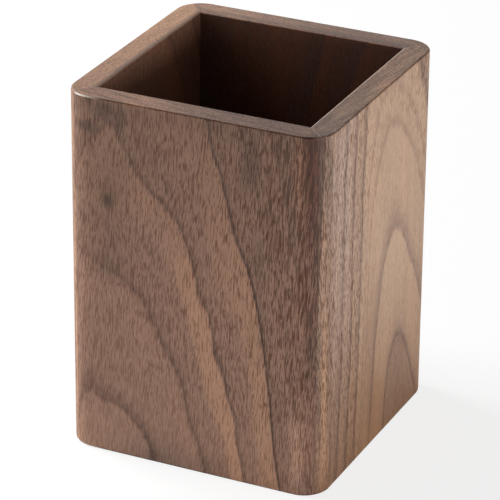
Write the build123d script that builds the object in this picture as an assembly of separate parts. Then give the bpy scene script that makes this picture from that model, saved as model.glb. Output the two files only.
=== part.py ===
from build123d import *
import os

# A square pencil cup: four solid walnut walls with upright grain, mitred and glued at the
# corners, and a base panel held by its tongue in a groove round the inside.
# Millimetres, +Z up. The origin is on the desk under the middle of the cup, and -Y is the front.

# Cup
cup_width = 80.0
cup_height = 110.0
corner_radius = 8.0

# Walls
wall_thickness = 7.7
rim_outer_round = 0.6
rim_inner_round = 0.5
foot_outer_round = 1.0
foot_inner_chamfer = 0.5

# Base panel
base_clear_of_desk = 4.0
base_thickness = 6.0
base_top_chamfer = 0.3
base_shoulder_gap = 0.2

# Tongue of the base panel and its groove in the walls
groove_depth = 4.0
tongue_thickness = 3.5
tongue_end_gap = 0.4
tongue_top_gap = 0.15

# Cuts run past the faces they open
cut_overrun = 1.0

inner_width = cup_width - 2 * wall_thickness
groove_width = inner_width + 2 * groove_depth


def glued_walls():
    """The ring of four walls after the glue-up, hollowed, grooved and sanded on its edges."""
    ring = extrude(RectangleRounded(cup_width, cup_width, corner_radius), cup_height)
    ring = fillet(ring.faces().sort_by(Axis.Z)[-1].edges(), rim_outer_round)
    ring = fillet(ring.faces().sort_by(Axis.Z)[0].edges(), foot_outer_round)

    hollow = extrude(Rectangle(inner_width, inner_width), cup_height + 2 * cut_overrun)
    ring -= Pos(0, 0, -cut_overrun) * hollow
    ring = fillet(ring.faces().sort_by(Axis.Z)[-1].inner_wires()[0].edges(), rim_inner_round)
    ring = chamfer(ring.faces().sort_by(Axis.Z)[0].inner_wires()[0].edges(), foot_inner_chamfer)

    groove = extrude(Rectangle(groove_width, groove_width), tongue_thickness + tongue_top_gap)
    return ring - Pos(0, 0, base_clear_of_desk) * groove


def front_wall():
    """One wall of the ring, between the two mitres that run through the corners of the cup."""
    reach = cup_width / 2 + cut_overrun
    between_mitres = make_face(Polyline((0, 0), (-reach, -reach), (reach, -reach), close=True))
    wedge = extrude(between_mitres, cup_height + 2 * cut_overrun, dir=(0, 0, 1))
    return glued_walls() & Pos(0, 0, -cut_overrun) * wedge


def base_panel():
    """The floor of the cup: a tongue seated on the groove's lower face, and a shoulder above it."""
    tongue_width = groove_width - 2 * tongue_end_gap
    shoulder_width = inner_width - 2 * base_shoulder_gap
    panel = extrude(Rectangle(shoulder_width, shoulder_width), base_thickness)
    panel = chamfer(panel.faces().sort_by(Axis.Z)[-1].edges(), base_top_chamfer)
    panel += extrude(Rectangle(tongue_width, tongue_width), tongue_thickness)
    return Pos(0, 0, base_clear_of_desk) * panel


# The four walls are one board, turned on by a quarter of a turn for each side of the cup
wall_names = ["front_wall", "right_wall", "back_wall", "left_wall"]
board = front_wall()
pieces = {"base_panel": base_panel()}
for side, name in enumerate(wall_names):
    pieces[name] = Rot(0, 0, side * 360 / len(wall_names)) * board

os.makedirs("parts", exist_ok=True)
for name, piece in pieces.items():
    solid = piece.solid()
    solid.label = name
    export_step(solid, f"parts/{name}.step")
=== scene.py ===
import math
from types import SimpleNamespace

import bmesh
import bpy
from mathutils import Matrix, Vector


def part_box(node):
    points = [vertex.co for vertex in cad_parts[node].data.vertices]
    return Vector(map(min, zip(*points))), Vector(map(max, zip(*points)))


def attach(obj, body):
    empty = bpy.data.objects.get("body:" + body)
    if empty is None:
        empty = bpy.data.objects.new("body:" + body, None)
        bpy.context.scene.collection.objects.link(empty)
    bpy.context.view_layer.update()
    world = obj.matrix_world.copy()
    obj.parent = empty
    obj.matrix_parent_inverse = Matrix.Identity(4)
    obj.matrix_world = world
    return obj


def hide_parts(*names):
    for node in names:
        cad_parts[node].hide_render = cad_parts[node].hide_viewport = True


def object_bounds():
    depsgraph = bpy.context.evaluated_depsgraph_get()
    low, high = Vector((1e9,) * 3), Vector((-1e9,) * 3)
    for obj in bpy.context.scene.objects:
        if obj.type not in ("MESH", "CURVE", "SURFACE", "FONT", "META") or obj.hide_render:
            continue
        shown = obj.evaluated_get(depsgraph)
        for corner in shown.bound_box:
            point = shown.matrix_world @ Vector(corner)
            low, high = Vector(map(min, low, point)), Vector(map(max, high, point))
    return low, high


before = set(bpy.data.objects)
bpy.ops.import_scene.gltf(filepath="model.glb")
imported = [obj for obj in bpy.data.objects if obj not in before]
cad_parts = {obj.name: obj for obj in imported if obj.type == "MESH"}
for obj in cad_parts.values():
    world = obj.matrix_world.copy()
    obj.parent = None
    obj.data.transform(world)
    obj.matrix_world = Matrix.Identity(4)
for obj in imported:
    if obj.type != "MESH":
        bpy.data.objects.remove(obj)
cad_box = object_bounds()

# The four walls are planed walnut boards with upright grain, mitred along both long edges and
# glued into a square tube. A groove near the foot holds the base, and after the glue-up the
# corners are rounded and every edge is sanded soft.
mm = 0.001
to_mm = (1 / mm, 1 / mm, 1 / mm)
cup_width = cad_box[1].x - cad_box[0].x
cup_height = cad_box[1].z - cad_box[0].z
half_width = cup_width / 2
wall_low, wall_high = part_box("front_wall")
wall_thickness = wall_high.y - wall_low.y
inner_half = half_width - wall_thickness
corner_radius = 8 * mm
rim_round = 0.6 * mm
mouth_round = 0.5 * mm
foot_round = 1.0 * mm
foot_chamfer = 0.5 * mm
groove_bottom = 4.0 * mm
groove_top = 7.65 * mm
groove_depth = 4.0 * mm
corner_steps = 32
round_steps = 4
soften = dict(affect="EDGES", offset_type="OFFSET", profile=0.5, material=-1)
sharp_edge = math.radians(30)
touching = 1e-6


def level(edge, height):
    """Whether an edge lies flat at that height."""
    return all(abs(v.co.z - height) < touching for v in edge.verts)


def wall_board(quarter_turns):
    """One mitred wall: a quarter of the rounded cup, cut out between its two mitre planes."""
    board = bmesh.new()
    block = Matrix.Translation((0, 0, cup_height / 2))
    block = block @ Matrix.Diagonal((cup_width, cup_width, cup_height, 1))
    bmesh.ops.create_cube(board, size=1, matrix=block)
    corners = [e for e in board.edges if not level(e, 0) and not level(e, cup_height)]
    bmesh.ops.bevel(board, geom=corners, offset=corner_radius, segments=corner_steps, **soften)
    rim = [e for e in board.edges if level(e, cup_height)]
    bmesh.ops.bevel(board, geom=rim, offset=rim_round, segments=round_steps, **soften)
    foot = [e for e in board.edges if level(e, 0)]
    bmesh.ops.bevel(board, geom=foot, offset=foot_round, segments=round_steps, **soften)

    right_mitre = ((0, 0, 0), (1, 1, 0))
    left_mitre = ((0, 0, 0), (-1, 1, 0))
    inner_plane = ((0, -inner_half, 0), (0, 1, 0))
    for point, away in (right_mitre, left_mitre, inner_plane):
        geometry = board.verts[:] + board.edges[:] + board.faces[:]
        bmesh.ops.bisect_plane(
            board, geom=geometry, dist=touching, plane_co=point, plane_no=away, clear_outer=True
        )

    # Each mitre is closed down its inner edge, in and out of the groove
    groove_reach = inner_half + groove_depth
    groove_path = (
        (inner_half, groove_top), (groove_reach, groove_top),
        (groove_reach, groove_bottom), (inner_half, groove_bottom),
    )
    inner_edges = []
    for hand in (1, -1):
        corner = Vector((hand * inner_half, -inner_half))
        ends = [v for v in board.verts if (v.co.xy - corner).length < touching]
        bottom, top = sorted(ends, key=lambda v: v.co.z)
        middle = [board.verts.new((hand * reach, -reach, z)) for reach, z in groove_path]
        chain = [top] + middle + [bottom]
        down = [board.edges.new(pair) for pair in zip(chain, chain[1:])]
        outline = [
            e for e in board.edges
            if e.is_boundary and all(abs(hand * v.co.x + v.co.y) < touching for v in e.verts)
        ]
        bmesh.ops.contextual_create(board, geom=outline + down)
        inner_edges += down
    bmesh.ops.bridge_loops(board, edges=inner_edges)

    # The inner arris is rounded at the mouth and chamfered at the foot
    for height, size, steps in ((cup_height, mouth_round, round_steps), (0, foot_chamfer, 1)):
        inner_arris = [
            e for e in board.edges
            if level(e, height) and all(abs(v.co.y + inner_half) < touching for v in e.verts)
        ]
        bmesh.ops.bevel(board, geom=inner_arris, offset=size, segments=steps, **soften)
    bmesh.ops.recalc_face_normals(board, faces=board.faces)
    quarter = Matrix.Rotation(quarter_turns * math.pi / 2, 3, "Z")
    bmesh.ops.rotate(board, verts=board.verts, cent=(0, 0, 0), matrix=quarter)
    return board


def make_piece(name, shape, material):
    """The finished mesh as a piece of the cup, softly shaded over its rounds."""
    mesh = bpy.data.meshes.new(name)
    shape.to_mesh(mesh)
    shape.free()
    mesh.shade_smooth()
    mesh.set_sharp_from_angle(angle=sharp_edge)
    mesh.materials.append(material)
    piece = bpy.data.objects.new(name, mesh)
    bpy.context.scene.collection.objects.link(piece)
    flat = piece.modifiers.new("flat faces stay flat", "WEIGHTED_NORMAL")
    flat.keep_sharp = True
    return piece


def linear(code):
    """An sRGB hex colour as the linear colour that a socket takes."""
    shares = [int(code[i:i + 2], 16) / 255 for i in (0, 2, 4)]
    return [c / 12.92 if c <= 0.04045 else ((c + 0.055) / 1.055) ** 2.4 for c in shares] + [1]


def add(tree, kind, inputs=None, stops=(), **settings):
    """Adds one node with its settings; an input is a number, a colour or another node's output."""
    node = tree.nodes.new("ShaderNode" + kind)
    for at, colour in stops:
        node.color_ramp.elements.new(at).color = colour
    if stops:
        node.color_ramp.elements.remove(node.color_ramp.elements[0])
        node.color_ramp.elements.remove(node.color_ramp.elements[-1])
    for key, value in settings.items():
        setattr(node, key, value)
    for key, value in (inputs or {}).items():
        if isinstance(value, bpy.types.NodeSocket):
            tree.links.new(value, node.inputs[key])
        else:
            node.inputs[key].default_value = value
    return node.outputs


def cells(*sizes):
    """The scale at which a pattern's cells have these sizes in millimetres."""
    return [1 / size for size in sizes]


def tint(tree, wood, share, colour):
    """The wood's colour multiplied by another, by that share."""
    tinted = add(tree, "VectorMath", {0: wood, 1: colour}, operation="MULTIPLY")[0]
    return add(tree, "Mix", {0: share, 6: wood, 7: tinted}, data_type="RGBA")[2]


def places_in_board(tree, turn, face, figure):
    """The places that the wood's patterns follow, in millimetres.

    In the board, x runs across it, y in from its outer face and z up the grain. In the log
    each board lies apart from the others, so that no two share a pattern.
    """
    where = add(tree, "TexCoord")["Object"]
    place = add(tree, "Mapping", {
        "Vector": where, "Location": (0, face / mm, 0), "Rotation": turn, "Scale": to_mm
    })[0]
    x, y, z = add(tree, "SeparateXYZ", {0: place})
    log = add(tree, "VectorMath", {0: place, 1: figure["from_log"]}, operation="ADD")[0]

    # The grain wanders a little on its way up the tree, in bends of a few centimetres
    bend = add(tree, "Mapping", {"Vector": log, "Scale": cells(24, 24, 60)})[0]
    bend = add(tree, "TexNoise", {"Vector": bend, "Scale": 1, "Detail": 2, "Roughness": 0.55})[1]
    bend = add(tree, "VectorMath", {0: bend, 1: (0.5, 0.5, 0.5)}, operation="SUBTRACT")[0]
    bend = add(tree, "VectorMath", {0: bend, 1: figure["wander"]}, operation="MULTIPLY")[0]
    bent = add(tree, "VectorMath", {0: place, 1: bend}, operation="ADD")[0]
    across, depth, up = add(tree, "SeparateXYZ", {0: bent})
    grain = add(tree, "VectorMath", {0: log, 1: bend}, operation="ADD")[0]
    grain = add(tree, "Mapping", {"Vector": grain, "Rotation": (0, figure["pore_lean"], 0)})[0]

    # Facing is 0 on an upright face and 1 on a level one, which tells long grain from end grain.
    # End grain starts higher up the outer round of the rim than up the inner one.
    facing = add(tree, "SeparateXYZ", {0: add(tree, "NewGeometry")["Normal"]})[2]
    facing = add(tree, "Math", {0: facing}, operation="ABSOLUTE")[0]
    end_from = add(tree, "MapRange", {0: y, 1: 3.0, 2: 5.0, 3: 0.82, 4: 0.5})[0]
    end = add(tree, "MapRange", {0: facing, 1: end_from, 2: 0.99, 3: 0.0, 4: 1.0})[0]
    return SimpleNamespace(
        where=where, place=place, x=x, y=y, z=z, log=log, grain=grain,
        across=across, depth=depth, up=up, facing=facing, end=end,
    )


def patch(tree, at, middle, size, full_from, strength):
    """An oval patch on the face of the board, full in its middle and gone at its edge."""
    x, z = middle
    wide, high = size
    into_board = 10
    spot = add(tree, "VectorMath", {0: at.place, 1: (-x, 0, -z)}, operation="ADD")[0]
    spot = add(tree, "VectorMath", {0: spot, 1: cells(wide, into_board, high)}, operation="MULTIPLY")[0]
    spot = add(tree, "VectorMath", {0: spot}, operation="LENGTH")["Value"]
    return add(tree, "MapRange", {
        0: spot, 1: 1.0, 2: full_from, 3: 0.0, 4: strength
    }, interpolation_type="SMOOTHSTEP")[0]


def growth_rings(tree, at, dash, figure):
    """The number of the growth ring at each point, with an edge that the pores make ragged.

    Rings are nested cones round the heart of the tree, so a flat face cuts them into arches.
    """
    arch = add(tree, "Math", {
        0: at.up, 1: -figure["lean"], 2: -figure["centre"]
    }, operation="MULTIPLY_ADD")[0]
    arch = add(tree, "Math", {0: at.across, 1: arch}, operation="ADD")[0]
    arch = add(tree, "Math", {0: arch, 1: arch}, operation="MULTIPLY")[0]
    arch = add(tree, "Math", {
        0: at.depth, 1: 2 * figure["heart"], 2: arch
    }, operation="MULTIPLY_ADD")[0]
    rise = add(tree, "Math", {
        0: at.up, 1: figure["taper"], 2: figure["spread"]
    }, operation="MULTIPLY_ADD")[0]
    cone = add(tree, "Math", {0: rise, 1: rise}, operation="MULTIPLY")[0]
    cone = add(tree, "Math", {0: arch, 1: 4 * figure["taper"], 2: cone}, operation="MULTIPLY_ADD")[0]
    cone = add(tree, "Math", {0: cone, 1: 0.5}, operation="POWER")[0]
    cone = add(tree, "Math", {0: cone, 1: rise}, operation="ADD")[0]
    per_ring = figure["taper"] * figure["ring_rise"]
    first = -figure["spread"] / per_ring - figure["first_ring"] / figure["ring_rise"]
    rings = add(tree, "Math", {0: cone, 1: 0.5 / per_ring, 2: first}, operation="MULTIPLY_ADD")[0]

    # Towards one edge of the board the rings crowd together and stand almost upright
    edge_ring, edge_at, edge_lean, edge_step = figure["edge"]
    edge = add(tree, "Math", {
        0: at.up, 1: edge_lean / edge_step, 2: edge_ring - edge_at / edge_step
    }, operation="MULTIPLY_ADD")[0]
    edge = add(tree, "Math", {0: at.across, 1: 1 / edge_step, 2: edge}, operation="MULTIPLY_ADD")[0]
    edge_dip = figure["edge_dip"] / abs(edge_step)
    edge = add(tree, "Math", {0: at.depth, 1: edge_dip, 2: edge}, operation="MULTIPLY_ADD")[0]
    rings = add(tree, "Math", {0: rings, 1: edge, 2: 0.35}, operation="SMOOTH_MAX")[0]
    for x, z, wide, high, push in figure["swells"]:
        swell = patch(tree, at, (x, z), (wide, high), 0.0, push)
        rings = add(tree, "Math", {0: rings, 1: swell}, operation="SUBTRACT")[0]
    ragged = add(tree, "Math", {
        0: dash, 1: figure["blur"], 2: -figure["blur"] / 2
    }, operation="MULTIPLY_ADD")[0]
    return add(tree, "Math", {0: ragged, 1: rings}, operation="ADD")[0]


def ring_tones(tree, at, rings, figure):
    """How light the wood is by its place in a ring, and how strong the dark line that starts one.

    A ring starts with the line and open grain, and ends in dense, lighter wood. On the end
    grain the rings are shallow arcs that run along the rim.
    """
    lowest = -3.0
    highest = 10.0
    ring_share = add(tree, "MapRange", {0: rings, 1: lowest, 2: highest, 3: 0.0, 4: 1.0})[0]
    profile = [
        ((ring - lowest) / (highest - lowest), (lightness, lightness, lightness, 1))
        for ring, lightness in figure["rings"]
    ]
    core = add(tree, "ValToRGB", {"Fac": ring_share}, stops=profile)["Color"]
    faint_at, clear_at, faintest = figure["contrast"]
    clear = add(tree, "MapRange", {0: at.across, 1: faint_at, 2: clear_at, 3: faintest, 4: 1.0})[0]
    calm_from, calm_to, calmest = figure["calm"]
    calm = add(tree, "MapRange", {0: at.up, 1: calm_from, 2: calm_to, 3: 1.0, 4: calmest})[0]
    contrast = add(tree, "Math", {0: clear, 1: calm}, operation="MULTIPLY")[0]
    late = add(tree, "Mix", {0: contrast, 2: 0.5, 3: core}, data_type="FLOAT")[0]

    # Each arc is about a millimetre wide and runs a little askew to the rim
    arcs = add(tree, "Mapping", {"Vector": at.log, "Rotation": (0, 0, 0.16)})[0]
    arcs = add(tree, "Mapping", {"Vector": arcs, "Scale": cells(14, 1.1, 50)})[0]
    arcs = add(tree, "TexNoise", {"Vector": arcs, "Scale": 1, "Detail": 3, "Roughness": 0.6})[0]
    dark_arc = 0.5 - figure["arcs"]
    light_arc = 0.5 + figure["arcs"]
    arcs = add(tree, "MapRange", {0: arcs, 1: 0.35, 2: 0.65, 3: dark_arc, 4: light_arc})[0]
    late = add(tree, "Mix", {0: at.end, 2: late, 3: arcs}, data_type="FLOAT")[0]

    # The line breaks up every couple of millimetres and keeps off the end grain
    line_tone, line_reach, line_gaps = figure["lines"]
    line = add(tree, "MapRange", {0: core, 1: 0.0, 2: line_reach, 3: line_tone, 4: 0.0})[0]
    broken = add(tree, "Mapping", {"Vector": at.log, "Scale": cells(2, 2, 2)})[0]
    broken = add(tree, "TexNoise", {"Vector": broken, "Scale": 1, "Detail": 1})[0]
    broken = add(tree, "MapRange", {0: broken, 1: 0.42, 2: 0.58, 3: line_gaps, 4: 1.0})[0]
    long_grain = add(tree, "Math", {0: 1.0, 1: at.end}, operation="SUBTRACT")[0]
    for share in (broken, clear, long_grain):
        line = add(tree, "Math", {0: line, 1: share}, operation="MULTIPLY")[0]
    return late, line


def open_pores(tree, at, dash, fleck, late, rings, figure):
    """Where pores are open and how dark they look; they crowd together where a ring starts."""
    crowded = add(tree, "Math", {
        0: late, 1: -figure["open_grain"], 2: figure["open_grain"] / 2
    }, operation="MULTIPLY_ADD")[0]
    dash = add(tree, "Math", {0: dash, 1: crowded}, operation="ADD")[0]
    dash = add(tree, "MapRange", {
        0: dash, 1: 0.51, 2: 0.63, 3: 0.0, 4: 1.0
    }, interpolation_type="SMOOTHSTEP")[0]
    fleck = add(tree, "Math", {0: fleck, 1: crowded}, operation="ADD")[0]
    fleck = add(tree, "MapRange", {
        0: fleck, 1: 0.51, 2: 0.67, 3: 0.0, 4: 0.9
    }, interpolation_type="SMOOTHSTEP")[0]
    pore = add(tree, "Math", {0: dash, 1: fleck}, operation="MAXIMUM")[0]
    few_at, many_at, few, many = figure["pores"]
    darkness = add(tree, "MapRange", {0: rings, 1: few_at, 2: many_at, 3: few, 4: many})[0]
    darkness = add(tree, "Math", {0: pore, 1: darkness}, operation="MULTIPLY")[0]

    # Wide, long pores among the crowded rings at the board's edge
    wide_size = cells(0.6, 0.6, 2 * figure["pore_length"])
    wide = add(tree, "Mapping", {"Vector": at.grain, "Scale": wide_size})[0]
    wide = add(tree, "TexNoise", {"Vector": wide, "Scale": 1, "Detail": 1})[0]
    wide = add(tree, "MapRange", {
        0: wide, 1: 0.5, 2: 0.6, 3: 0.0, 4: 1.0
    }, interpolation_type="SMOOTHSTEP")[0]
    bold_from, bold_to, boldest = figure["bold"]
    bold = add(tree, "MapRange", {0: rings, 1: bold_from, 2: bold_to, 3: 0.0, 4: boldest})[0]
    bold = add(tree, "Math", {0: wide, 1: bold}, operation="MULTIPLY")[0]
    darkness = add(tree, "Math", {0: darkness, 1: bold}, operation="MAXIMUM")[0]

    # Towards the foot the pores grow fainter
    foot = add(tree, "MapRange", {0: at.z, 1: 8.0, 2: 36.0, 3: figure["foot"], 4: 1.0})[0]
    darkness = add(tree, "Math", {0: darkness, 1: foot}, operation="MULTIPLY")[0]
    return pore, darkness


def face_colour(tree, at, late, figure):
    """The wood's colour: its rings, grey streaks a few millimetres wide, and shades and smudges, some of
    which are painted light and shade.
    """
    dark, middle, light, grey = (linear(code) for code in figure["tones"])
    wood = add(tree, "ValToRGB", {"Fac": late}, stops=[(0.02, dark), (0.5, middle), (0.98, light)])[0]
    streak = add(tree, "Mapping", {"Vector": at.log, "Scale": cells(3.5, 3.5, 50)})[0]
    streak = add(tree, "TexNoise", {"Vector": streak, "Scale": 1, "Detail": 3, "Roughness": 0.6})[0]
    streak = add(tree, "MapRange", {0: streak, 1: 0.35, 2: 0.65, 3: 0.0, 4: figure["veins"]})[0]
    wood = add(tree, "Mix", {0: streak, 6: wood, 7: grey}, data_type="RGBA")[2]
    for way, plain_at, full_at, colour in figure["shades"]:
        shade = add(tree, "VectorMath", {0: at.place, 1: way}, operation="DOT_PRODUCT")["Value"]
        shade = add(tree, "MapRange", {0: shade, 1: plain_at, 2: full_at, 3: 0.0, 4: 1.0})[0]
        wood = tint(tree, wood, shade, colour)
    for x, z, wide, high, strength, colour in figure["smudges"]:
        smudge = patch(tree, at, (x, z), (wide, high), 0.1, strength)
        wood = tint(tree, wood, smudge, colour)
    return wood


def rim_colour(tree, at, wood, figure):
    """The wood's colour with the rim's own, and where its outer round is sanded and polished.

    End grain drinks more oil than long grain, and not everywhere the same, so it has its own tone.
    """
    rim_from, rim_to, first_tone, last_tone = figure["end_grain"]
    along = add(tree, "MapRange", {0: at.x, 1: rim_from, 2: rim_to, 3: 0.0, 4: 1.0})[0]
    oiled = add(tree, "Mix", {0: along, 6: (*first_tone, 1), 7: (*last_tone, 1)}, data_type="RGBA")[2]
    oiled = add(tree, "VectorMath", {0: wood, 1: oiled}, operation="MULTIPLY")[0]
    speck = add(tree, "Mapping", {"Vector": at.log, "Scale": cells(0.9, 0.7, 50)})[0]
    speck = add(tree, "TexNoise", {"Vector": speck, "Scale": 1, "Detail": 2})[0]
    speck = add(tree, "MapRange", {0: speck, 1: 0.35, 2: 0.65, 3: 0.82, 4: 1.18})[0]
    oiled = add(tree, "VectorMath", {0: oiled, "Scale": speck}, operation="SCALE")[0]
    # Painted shade: the rim grows darker towards the mouth, as shade from the deep inside
    mouth_shade_from, mouth_shade_to, darkest_mouth_shade = figure["inner_rim"]
    mouth_shade = add(tree, "MapRange", {0: at.y, 1: mouth_shade_from, 2: mouth_shade_to, 3: 1.0, 4: darkest_mouth_shade})[0]
    oiled = add(tree, "VectorMath", {0: oiled, "Scale": mouth_shade}, operation="SCALE")[0]
    wood = add(tree, "Mix", {0: at.end, 6: wood, 7: oiled}, data_type="RGBA")[2]

    # Oil gathers on the outer round, which shows as a dark line round the rim and the foot
    gathered_oil = (0.20, 0.13, 0.08)
    outer = add(tree, "MapRange", {0: at.y, 1: 1.0, 2: 2.0, 3: 1.0, 4: 0.0})[0]
    arris = add(tree, "MapRange", {0: at.facing, 1: 0.35, 2: 0.75, 3: 0.0, 4: 1.0})[0]
    arris_top = add(tree, "MapRange", {0: at.facing, 1: 0.95, 2: 0.999, 3: figure["arris"], 4: 0.0})[0]
    for share in (arris_top, outer):
        arris = add(tree, "Math", {0: arris, 1: share}, operation="MULTIPLY")[0]
    wood = tint(tree, wood, arris, gathered_oil)

    # The same round is sanded. All of it, one end or none is polished, and painted pale there as a glint.
    sanded = add(tree, "MapRange", {0: at.facing, 1: 0.2, 2: 0.5, 3: 0.0, 4: 1.0})[0]
    sanded_top = add(tree, "MapRange", {0: at.facing, 1: 0.9, 2: 0.99, 3: 1.0, 4: 0.0})[0]
    for share in (sanded_top, outer):
        sanded = add(tree, "Math", {0: sanded, 1: share}, operation="MULTIPLY")[0]
    polish = sanded
    if figure["polish"]:
        smooth_to, rough_from = figure["polish"]
        smooth = add(tree, "MapRange", {0: at.x, 1: smooth_to, 2: rough_from, 3: 1.0, 4: 0.0})[0]
        polish = add(tree, "Math", {0: sanded, 1: smooth}, operation="MULTIPLY")[0]
    painted_glint = add(tree, "Math", {0: polish, 1: figure["painted_glint"]}, operation="MULTIPLY")[0]
    wood = add(tree, "Mix", {0: painted_glint, 6: wood, 7: linear("efe2d6")}, data_type="RGBA")[2]

    # The inner arris is sanded through the oil and painted pale: partly wear, partly a painted highlight
    # where it catches the left softbox
    inner_y = wall_thickness / mm
    wear_and_highlight = add(tree, "MapRange", {
        0: at.y, 1: inner_y - 0.55, 2: inner_y - 0.45, 3: 0.0, 4: figure["wear_and_highlight"]
    })[0]
    pale_round = add(tree, "MapRange", {0: at.facing, 1: 0.4, 2: 0.65, 3: 0.0, 4: 1.0})[0]
    wear_and_highlight = add(tree, "Math", {0: wear_and_highlight, 1: pale_round}, operation="MULTIPLY")[0]
    wood = add(tree, "Mix", {0: wear_and_highlight, 6: wood, 7: linear("e6d2c0")}, data_type="RGBA")[2]

    # A hair of glue shows along each mitre on the rim
    seam = add(tree, "Mapping", {"Vector": at.where, "Rotation": (0, 0, math.pi / 4), "Scale": to_mm})[0]
    seam = add(tree, "VectorMath", {0: seam}, operation="ABSOLUTE")[0]
    seam = add(tree, "SeparateXYZ", {0: seam})
    seam = add(tree, "Math", {0: seam[0], 1: seam[1]}, operation="MINIMUM")[0]
    seam = add(tree, "MapRange", {0: seam, 1: 0.05, 2: 0.16, 3: figure["glue"], 4: 0.0})[0]
    seam = add(tree, "Math", {0: seam, 1: at.end}, operation="MULTIPLY")[0]
    wood = add(tree, "Mix", {0: seam, 6: wood, 7: linear("ccbdb0")}, data_type="RGBA")[2]
    return wood, sanded, polish


def inside_colour(tree, at, wood, figure):
    """The wood's colour with the inner face darker: partly oiled before the glue-up and not sanded since,
    partly painted shade of the deep inside, with a painted shadow in the corner between the back and left
    boards.
    """
    inner_y = wall_thickness / mm
    inner = add(tree, "MapRange", {0: at.y, 1: inner_y - 0.6, 2: inner_y - 0.2, 3: 0.0, 4: 1.0})[0]
    upright_face = add(tree, "MapRange", {0: at.facing, 1: 0.1, 2: figure["oiled_and_shaded"], 3: 1.0, 4: 0.0})[0]
    inner = add(tree, "Math", {0: inner, 1: upright_face}, operation="MULTIPLY")[0]
    # Painted shade on top of the oil: the inner face is darker than the wood's own tone
    oiled_and_shaded = add(tree, "VectorMath", {0: wood, 1: figure["inside"]}, operation="MULTIPLY")[0]
    # Painted shadow: on the back and left boards the inner face grows darker towards the corner they share
    dim_from, dim_to, first_dim, last_dim = figure["inner_corner_shade"]
    dim = add(tree, "MapRange", {0: at.x, 1: dim_from, 2: dim_to, 3: first_dim, 4: last_dim})[0]
    oiled_and_shaded = add(tree, "VectorMath", {0: oiled_and_shaded, "Scale": dim}, operation="SCALE")[0]
    return add(tree, "Mix", {0: inner, 6: wood, 7: oiled_and_shaded}, data_type="RGBA")[2]


def oiled_walnut(name, turn, face, figure):
    """Walnut sawn from the log, planed, sanded and oiled.

    The eye gets growth rings cut into arches by the face and into arcs by the end grain, a
    dark line and a band of open pores where each ring starts, and a low satin sheen.
    """
    material = bpy.data.materials.new(name)
    material.use_nodes = True
    tree = material.node_tree
    tree.nodes.clear()
    at = places_in_board(tree, turn, face, figure)

    # Pores are short open tubes: dashes on the face, dots on the end grain. They are drawn two to
    # three times as wide as in the wood, as finer ones would not show. Pale fibres lie between them.
    long = figure["pore_length"]
    dash = add(tree, "Mapping", {"Vector": at.grain, "Scale": cells(0.33, 0.33, long)})[0]
    dash = add(tree, "TexNoise", {"Vector": dash, "Scale": 1, "Detail": 1, "Roughness": 0.6})[0]
    fleck = add(tree, "Mapping", {"Vector": at.grain, "Scale": cells(0.25, 0.25, long / 1.5)})[0]
    fleck = add(tree, "TexNoise", {"Vector": fleck, "Scale": 1, "Detail": 1})[0]
    fibre = add(tree, "MapRange", {0: fleck, 1: 0.28, 2: 0.48, 3: 1.0 + figure["fibre"], 4: 1.0})[0]

    # Ring lines and pores are the same deep brown
    deep_grain = (0.30, 0.18, 0.10)
    rings = growth_rings(tree, at, dash, figure)
    late, line = ring_tones(tree, at, rings, figure)
    pore, darkness = open_pores(tree, at, dash, fleck, late, rings, figure)
    wood = face_colour(tree, at, late, figure)
    wood = tint(tree, wood, line, deep_grain)
    wood = add(tree, "VectorMath", {0: wood, "Scale": fibre}, operation="SCALE")[0]
    wood = tint(tree, wood, darkness, deep_grain)
    wood, sanded, polish = rim_colour(tree, at, wood, figure)
    wood = inside_colour(tree, at, wood, figure)

    # Oiled wood is satin, rougher in its pores and smoother where it is polished
    hollow = add(tree, "Math", {0: pore, 1: -1.0}, operation="MULTIPLY")[0]
    bump = add(tree, "Bump", {"Height": hollow, "Strength": 0.3, "Distance": 0.1 * mm})[0]
    rough = add(tree, "MapRange", {0: pore, 1: 0.0, 2: 1.0, 3: 0.46, 4: 0.65})[0]
    rough = add(tree, "Mix", {0: polish, 2: rough, 3: 0.25}, data_type="FLOAT")[0]
    finish = {"Base Color": wood, "Roughness": rough, "Normal": bump, "IOR": 1.5}
    if figure["polish"]:
        dull = add(tree, "Math", {0: sanded, 1: polish}, operation="SUBTRACT")[0]
        shine = add(tree, "MapRange", {0: dull, 1: 0.0, 2: 1.0, 3: 0.5, 4: 0.05})[0]
        finish["Specular IOR Level"] = shine
    surface = add(tree, "BsdfPrincipled", finish)[0]
    add(tree, "OutputMaterial", {"Surface": surface})
    return material


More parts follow.
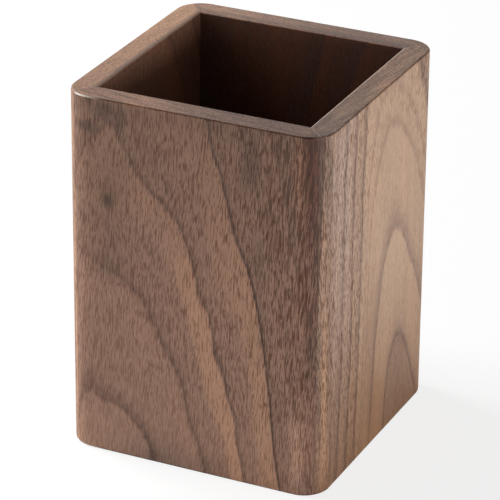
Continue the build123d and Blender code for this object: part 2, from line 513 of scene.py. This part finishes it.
# A board's figure is given in millimetres from the middle of its foot. Three numbers in brackets
# are a colour that multiplies the wood's own. Each board names where it differs from the usual, and:
# from_log, where in the log it was sawn;
# centre and lean, x of the arches' peaks at the foot and how far it moves for each millimetre up;
# spread and taper, how wide an arch opens that peaks at the foot and how much wider higher ones do;
# first_ring and ring_rise, height of the first arch's peak and from one peak to the next;
# heart, how far behind the board the heart of the tree lies;
# edge, the number of a crowded ring, its x at the foot, its lean and the step to the next ring.
along_x = (1, 0, 0)
along_z = (0, 0, 1)
even_rings = [
    (ring + share, lightness)
    for ring in range(-2, 8)
    for share, lightness in ((0, 0.15), (0.12, 0.35), (0.9, 0.85))
]
usual = dict(
    # How far the grain strays, and how far the rings at the edge move for each millimetre of depth
    wander=(3, 3, 8),
    edge_dip=0.6,
    # Lightness by ring number, how ragged it is in rings, and swells: place, size and rings pushed
    rings=even_rings,
    blur=0.05,
    swells=[],
    # Two stretches, across and up, with the share of the rings' contrast at the faint end
    contrast=(-100, -90, 1),
    calm=(100, 110, 1),
    # Dark line where a ring starts: its strength, the lightness where it ends, and what gaps leave
    lines=(0.6, 0.3, 0.5),
    # Dark, middle and light wood and the grey of its streaks, with their share
    tones=("7e5d50", "a67a67", "c68f6c", "756054"),
    veins=0.35,
    # Shades run one way, from plain to full; smudges have a place, a size and a strength
    shades=[],
    smudges=[],
    # How much pores crowd where a ring starts, their length and lean, and how much paler fibres are
    open_grain=0.1,
    pore_length=3.3,
    pore_lean=-0.05,
    fibre=0.1,
    # From one ring to another: how dark pores and wide pores are; and the share left at the foot
    pores=(0, 1, 0.75, 0.75),
    bold=(0, 1, 0),
    foot=1,
    # Rim: a stretch along it with a colour at each end, one across it with a tone that paints shade
    # towards the mouth, and its arcs
    end_grain=(0, 1, (1, 1, 1), (1, 1, 1)),
    inner_rim=(0, 1, 1),
    arcs=0.2,
    # Rim's edges: dark outer arris, pale inner arris that is wear and a painted highlight, the polished
    # end if not all, a painted glint there, and glue
    arris=0.25,
    wear_and_highlight=0,
    polish=None,
    painted_glint=0,
    glue=0.1,
    # Inner face: its colour, partly painted shade; how far round the arris it goes; and a stretch across
    # with two tones that paints a shadow into a corner
    inside=(1, 1, 1),
    oiled_and_shaded=0.6,
    inner_corner_shade=(0, 1, 1, 1),
)
boards = {
    "front": dict(
        usual, from_log=(0, 0, 0), centre=-40, lean=0.14, spread=31.5, taper=0.02,
        first_ring=22, ring_rise=38.3, heart=130, edge=(4, 38.88, 0.22, 9),
        rings=[
            (-0.085, 0.52), (-0.06, 0.0), (0.0, 0.1), (0.14, 0.38), (0.6, 0.48), (0.85, 0.6),
            (0.97, 0.35), (1.0, 0.1), (1.06, 0.25), (1.18, 0.4), (1.48, 0.46), (1.62, 0.86),
            (1.9, 0.93), (1.93, 0.0), (1.96, 0.25), (2.02, 0.42), (2.25, 0.48), (2.48, 0.75),
            (2.94, 0.86), (2.98, 0.0), (3.03, 0.05), (3.08, 0.36), (3.9, 0.50), (4.0, 0.24),
            (4.1, 0.38), (4.5, 0.42), (4.85, 0.52), (5.0, 0.3), (5.5, 0.4), (6.0, 0.3),
        ],
        swells=[
            # Round the knot and below it
            (-26, 97, 11, 24, 0.22), (-24.8, 102, 4.6, 10, 0.15), (-36, 62, 9, 14, 0.12),
            # At the foot
            (-12, 6, 14, 16, 0.17), (3, 8, 9, 16, 0.1), (15.4, 14, 5, 10, -0.11), (27.6, 10, 6, 14, -0.06),
            # Up the middle
            (9, 36, 10, 50, -0.08), (20, 58, 14, 60, 0.33), (7.4, 102, 5, 10, -0.1),
            (5.2, 49, 5, 12, 0.1), (13.8, 26, 5, 9, -0.1),
        ],
        contrast=(-30, 8, 0.52), calm=(55, 105, 0.5), lines=(0.75, 0.3, 0.6),
        tones=("7c5d4d", "a07964", "ba8b6d", "756054"), veins=0.1,
        shades=[
            # Dark along the right-hand mitre; pale along the left-hand one, a painted highlight where the
            # round turns to the left softbox
            (along_x, 33.2, 35.6, (0.77, 0.72, 0.70)),
            (along_x, -30, -40, (1.22, 1.20, 1.14)), (along_x, -36.7, -36.9, (1.5, 1.5, 1.4)),
            # Darker up the board and lighter towards the foot: painted light, as the white table lights
            # the face from below
            (along_z, 50, 105, (0.73, 0.72, 0.71)), (along_z, 104, 108.5, (0.88, 0.88, 0.88)),
            (along_z, 50, 5, (1.03, 1.05, 1.05)),
        ],
        smudges=[
            # A pin knot and the dark wood round it
            (-25.8, 79.5, 2.2, 3.2, 0.9, (0.30, 0.26, 0.18)),
            (-25.3, 81.3, 4.4, 6.4, 0.42, (0.36, 0.35, 0.28)),
            (-24.5, 85, 10, 16, 0.26, (0.30, 0.30, 0.28)), (-24.5, 64, 8, 14, 0.24, (0.30, 0.30, 0.28)),
            # Dark and pale streaks along the right-hand mitre
            (36.3, 104, 3.7, 38, 0.82, (0.60, 0.32, 0.18)), (37.9, 70, 2.0, 26, 0.5, (0.50, 0.48, 0.45)),
            (32.6, 101, 2.2, 22, 0.9, (1.30, 1.24, 1.16)), (36.3, 43, 2.6, 17, 0.5, (0.45, 0.52, 0.52)),
            (33.9, 10, 4.4, 32, 1.0, (1.50, 1.56, 1.58)),
            # Grey streaks beside the rings in the middle
            (20.8, 71, 4, 17, 0.32, (0.40, 0.45, 0.42)), (21.5, 48, 5, 15, 0.28, (0.40, 0.45, 0.42)),
            (26, 27, 5, 20, 0.25, (0.40, 0.45, 0.42)), (-10, 72, 8, 13, 0.16, (0.55, 0.65, 0.95)),
            # Pale and dark patches at the left-hand edge
            (-35, 57, 5, 12, 0.8, (1.12, 1.13, 1.13)), (-35, 77, 5, 12, 0.8, (0.88, 0.90, 0.92)),
            # Under the rim
            (-32, 101, 5.2, 2.8, 0.7, (0.30, 0.29, 0.26)), (-26.8, 106.3, 5, 4, 0.62, (0.30, 0.29, 0.26)),
            (-21.8, 104, 3, 6, 0.5, (0.30, 0.29, 0.26)), (-16.5, 110.5, 7, 2.4, 1.0, (1.40, 1.37, 1.36)),
            (17.5, 98, 4.5, 13, 0.5, (0.30, 0.29, 0.26)),
            # At the foot
            (8, 13, 7, 13, 0.6, (1.12, 1.10, 1.10)), (-9, 0, 26, 11, 1.0, (0.76, 0.81, 0.87)),
            (35, 2, 3.6, 9, 1.0, (0.69, 0.71, 0.75)),
        ],
        open_grain=0.11, pore_length=3.9, fibre=0.13,
        pores=(0, 4.5, 0.55, 1.0), bold=(3.9, 5.0, 0.85), foot=0.75,
        end_grain=(-12, 6, (1.14, 1.16, 1.12), (0.66, 0.63, 0.585)), arcs=0.36,
        arris=0.7, wear_and_highlight=0.1, polish=(-35, -27.5), painted_glint=0.75, glue=0.3,
        inside=(0.27, 0.19, 0.15),
    ),
    "right": dict(
        usual, from_log=(300, 0, 500), wander=(2, 2, 6), centre=19.3, lean=-0.114, spread=2.5, taper=0.1,
        first_ring=29, ring_rise=35, heart=40, edge=(3, -15.5, -0.03, -6), edge_dip=2.0, blur=0.1,
        rings=[
            (-1.0, 0.3), (-0.1, 0.42), (0.0, 0.0), (0.1, 0.65), (0.4, 0.85), (0.96, 0.85),
            (1.0, 0.15), (1.14, 0.45), (1.35, 0.75), (1.94, 0.75), (2.0, 0.25), (2.05, 0.65),
            (2.28, 0.75), (2.36, 0.4), (2.46, 0.75), (2.85, 0.75), (3.0, 0.1), (3.2, 0.5),
            (3.82, 0.65), (4.0, 0.1), (4.2, 0.5), (4.8, 0.7), (5.0, 0.1), (5.2, 0.5),
            (5.85, 0.65), (6.0, 0.3), (6.2, 0.5), (6.8, 0.6), (7.0, 0.3),
        ],
        lines=(0.3, 0.5, 0.1),
        tones=("9e8171", "bb9880", "d4af8f", "937f71"), veins=0.28,
        shades=[
            # Dark along the left-hand mitre, a little darker at the right-hand one
            (along_x, -19, -23, (0.98, 1.0, 1.06)), (along_x, -33.2, -33.9, (0.73, 0.71, 0.67)),
            ((1, 0, -0.022), -38.7, -38.8, (0.52, 0.43, 0.39)), (along_x, 26, 36, (0.92, 0.92, 0.92)),
            # Browner and darker towards the foot: partly the wood's tone, partly painted shade where the
            # table beside it lies in shadow
            (along_z, 58, 0, (0.60, 0.503, 0.405)),
        ],
        smudges=[
            # Broad warm and pale clouds
            (-5, 32, 9, 46, 0.16, (0.35, 0.12, 0.0)), (-26, 92, 13, 42, 1.0, (1.04, 1.10, 1.18)),
            # Pale streaks along the left-hand mitre, with dark ones between
            (-36.5, 72, 1.7, 27, 1.0, (1.55, 1.48, 1.38)), (-35.8, 42, 2.2, 27, 1.0, (1.62, 1.56, 1.46)),
            (-34.9, 12, 2.6, 27, 1.0, (1.76, 1.76, 1.76)), (-37.1, 12, 1.0, 22, 1.0, (1.60, 1.66, 1.78)),
            (-38.2, 30, 1.2, 46, 0.9, (0.50, 0.48, 0.50)),
            (-32.1, 12, 1.0, 22, 1.0, (0.64, 0.64, 0.66)), (-34.5, 98, 1.0, 14, 1.0, (0.64, 0.64, 0.66)),
            # Warm foot, and a pale stretch under the rim
            (0, 12, 10, 20, 0.22, (0.60, 0.36, 0.26)), (6, 110.5, 9, 2.4, 1.0, (1.20, 1.16, 1.13)),
        ],
        open_grain=0.12, pore_length=3.0, pore_lean=0, fibre=0.07, pores=(1.8, 3.2, 0.25, 0.85), foot=0.7,
        end_grain=(-26, 6, (0.362, 0.312, 0.268), (0.505, 0.445, 0.39)), arcs=0.42,
        # The polish ends off the board, so all of the round stays dull
        arris=0.6, wear_and_highlight=0.5, polish=(-60, -59), glue=0.3,
        inside=(0.31, 0.23, 0.20),
    ),
    "back": dict(
        usual, from_log=(600, 0, 900), centre=-70, lean=0.1, spread=26, taper=0.05,
        first_ring=10, ring_rise=30, heart=90, edge=(3, 90, 0.1, 5), contrast=(-36, 0, 0.4),
        shades=[(along_x, 26, 39, (0.9, 0.88, 0.86)), (along_z, 60, 105, (0.9, 0.9, 0.9))],
        end_grain=(-6, 22, (0.64, 0.69, 0.68), (1.22, 1.39, 1.35)), inner_rim=(4.0, 5.8, 0.60),
        inside=(0.25, 0.175, 0.135), oiled_and_shaded=0.95, inner_corner_shade=(4, 30, 1.08, 0.46),
    ),
    "left": dict(
        usual, from_log=(900, 0, 1300), centre=8, lean=0.05, spread=14, taper=0.06,
        first_ring=14, ring_rise=33, heart=70, edge=(4, -22, 0.05, -5),
        tones=("97745f", "b48d74", "cfa27f", "93796b"), veins=0.3,
        shades=[(along_x, 26, 39, (0.9, 0.88, 0.86)), (along_z, 55, 5, (0.85, 0.83, 0.8))],
        pores=(0, 1, 0.55, 0.55), arcs=0.15,
        end_grain=(-30, 16, (1.15, 1.11, 1.0), (0.883, 0.828, 0.755)), inner_rim=(5.7, 7.0, 0.42),
        inside=(0.42, 0.32, 0.28), oiled_and_shaded=0.95, inner_corner_shade=(-32, -12, 0.68, 1.03),
    ),
}
for side, (name, figure) in enumerate(boards.items()):
    turn = (0, 0, -side * math.pi / 2)
    walnut = oiled_walnut(f"oiled walnut, {name} board", turn, half_width, figure)
    piece = make_piece(f"{name}_board", wall_board(side), walnut)
    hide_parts(f"{name}_wall")
    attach(piece, "root")

# The base is a walnut panel with its grain lying across the cup. A tongue round its edge sits
# in the groove of the walls, free of glue, so that the panel can swell and shrink.
base_low, base_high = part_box("base_panel")
tongue_thickness = 3.5 * mm
tongue_half = base_high.x
shoulder_gap = 0.2 * mm
shoulder_half = inner_half - shoulder_gap
shoulder_rise = Vector((0, 0, base_high.z - base_low.z - tongue_thickness))
top_chamfer = 0.3 * mm
panel = bmesh.new()
tongue = Matrix.Translation((0, 0, base_low.z + tongue_thickness / 2))
tongue = tongue @ Matrix.Diagonal((2 * tongue_half, 2 * tongue_half, tongue_thickness, 1))
bmesh.ops.create_cube(panel, size=1, matrix=tongue)
top = [f for f in panel.faces if f.normal.z > 0.5]
bmesh.ops.inset_region(panel, faces=top, thickness=tongue_half - shoulder_half, use_even_offset=True)
raised = bmesh.ops.extrude_discrete_faces(panel, faces=top)["faces"]
bmesh.ops.translate(panel, verts=raised[0].verts, vec=shoulder_rise)
bmesh.ops.bevel(panel, geom=raised[0].edges[:], offset=top_chamfer, segments=1, **soften)
bmesh.ops.recalc_face_normals(panel, faces=panel.faces)
base_figure = dict(
    usual, from_log=(1300, 0, 1700), centre=-12, lean=0.05, spread=20, taper=0.08,
    first_ring=-30, ring_rise=30, heart=60, edge=(4, 30, 0.05, 5), arris=0, glue=0,
)
lying = (math.pi / 2, math.pi / 2, 0)
walnut = oiled_walnut("oiled walnut, base board", lying, base_high.z, base_figure)
base_board = make_piece("base_board", panel, walnut)
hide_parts("base_panel")
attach(base_board, "root")

# The cup stands on a plain matt white table top. The camera sees it near white with the cup's
# soft shadow, and the cup gets the light that a white table gives back.
floor_reach = 3.0
table_top = bmesh.new()
bmesh.ops.create_grid(table_top, x_segments=1, y_segments=1, size=floor_reach)
floor_mesh = bpy.data.meshes.new("floor")
table_top.to_mesh(floor_mesh)
table_top.free()
floor = bpy.data.objects.new("floor", floor_mesh)
bpy.context.scene.collection.objects.link(floor)
paint = bpy.data.materials.new("matt white table")
paint.use_nodes = True
table = paint.node_tree
table.nodes.clear()
bounce = add(table, "BsdfDiffuse", {"Color": linear("f0f0f0")})[0]
shadow = add(table, "BsdfDiffuse", {"Color": (0.22, 0.22, 0.22, 1)})[0]
white = add(table, "Emission", {"Color": (1, 1, 1, 1), "Strength": 0.81})[0]
pale = add(table, "AddShader", {0: shadow, 1: white})[0]
by_camera = add(table, "LightPath")["Is Camera Ray"]
table_surface = add(table, "MixShader", {0: by_camera, 1: bounce, 2: pale})[0]
add(table, "OutputMaterial", {"Surface": table_surface})
floor_mesh.materials.append(paint)

# Round the table is a white studio, brighter at the sides than overhead, with a large softbox
# up on the left and a long low one on the right. The camera and reflections see plain white.
world = bpy.data.worlds.new("white studio")
world.use_nodes = True
bpy.context.scene.world = world
studio = world.node_tree
studio.nodes.clear()
upward = add(studio, "SeparateXYZ", {0: add(studio, "TexCoord")["Generated"]})[2]
glow = add(studio, "MapRange", {
    0: upward, 1: 0.0, 2: 0.45, 3: 0.8, 4: 0.03
}, interpolation_type="SMOOTHSTEP")[0]
rays = add(studio, "LightPath")
seen = add(studio, "Math", {0: rays["Is Camera Ray"], 1: rays["Is Glossy Ray"]}, operation="MAXIMUM")[0]
seen = add(studio, "Math", {0: seen, 1: rays["Is Transmission Ray"]}, operation="MAXIMUM")[0]
brightness = add(studio, "Mix", {0: seen, 2: glow, 3: 1.0}, data_type="FLOAT")[0]
backdrop = add(studio, "Background", {"Color": (1, 1, 1, 1), "Strength": brightness})[0]
add(studio, "OutputWorld", {"Surface": backdrop})

lit_point = Vector((0, 0, 0.05))
for name, stand, power, width, height in (
    ("left softbox", (-1.0, 0.0, 0.8), 20.0, 0.8, 0.8),
    ("right softbox", (1.0, -0.3, 0.15), 6.0, 0.8, 0.2),
):
    lamp = bpy.data.lights.new(name, "AREA")
    lamp.energy = power
    lamp.shape = "RECTANGLE"
    lamp.size = width
    lamp.size_y = height
    softbox = bpy.data.objects.new(name, lamp)
    softbox.location = stand
    softbox.rotation_euler = (lit_point - softbox.location).to_track_quat("-Z", "Y").to_euler()
    bpy.context.scene.collection.objects.link(softbox)

# The camera looks down at the corner between the front and the right wall through a long lens,
# rolled by half a degree.
azimuth = math.radians(25.0)
elevation = math.radians(25.16)
roll = math.radians(0.55)
distance = 0.925
aim = Vector((0, 0, 0.053))
shift_right = -0.0004
right_hand = Vector((math.cos(azimuth), math.sin(azimuth), 0))
level_back = Vector((math.sin(azimuth), -math.cos(azimuth), 0))
backward = math.cos(elevation) * level_back + math.sin(elevation) * Vector((0, 0, 1))
overhead = backward.cross(right_hand)
rolled_right = math.cos(roll) * right_hand + math.sin(roll) * overhead
rolled_up = math.cos(roll) * overhead - math.sin(roll) * right_hand
lens = bpy.data.cameras.new("camera")
lens.sensor_width = 36
lens.lens = 230.3
camera = bpy.data.objects.new("camera", lens)
stand = Matrix.Translation(aim + shift_right * right_hand + distance * backward)
camera.matrix_world = stand @ Matrix((rolled_right, rolled_up, backward)).transposed().to_4x4()
bpy.context.scene.collection.objects.link(camera)
bpy.context.scene.camera = camera
bpy.context.scene.view_settings.view_transform = "Standard"
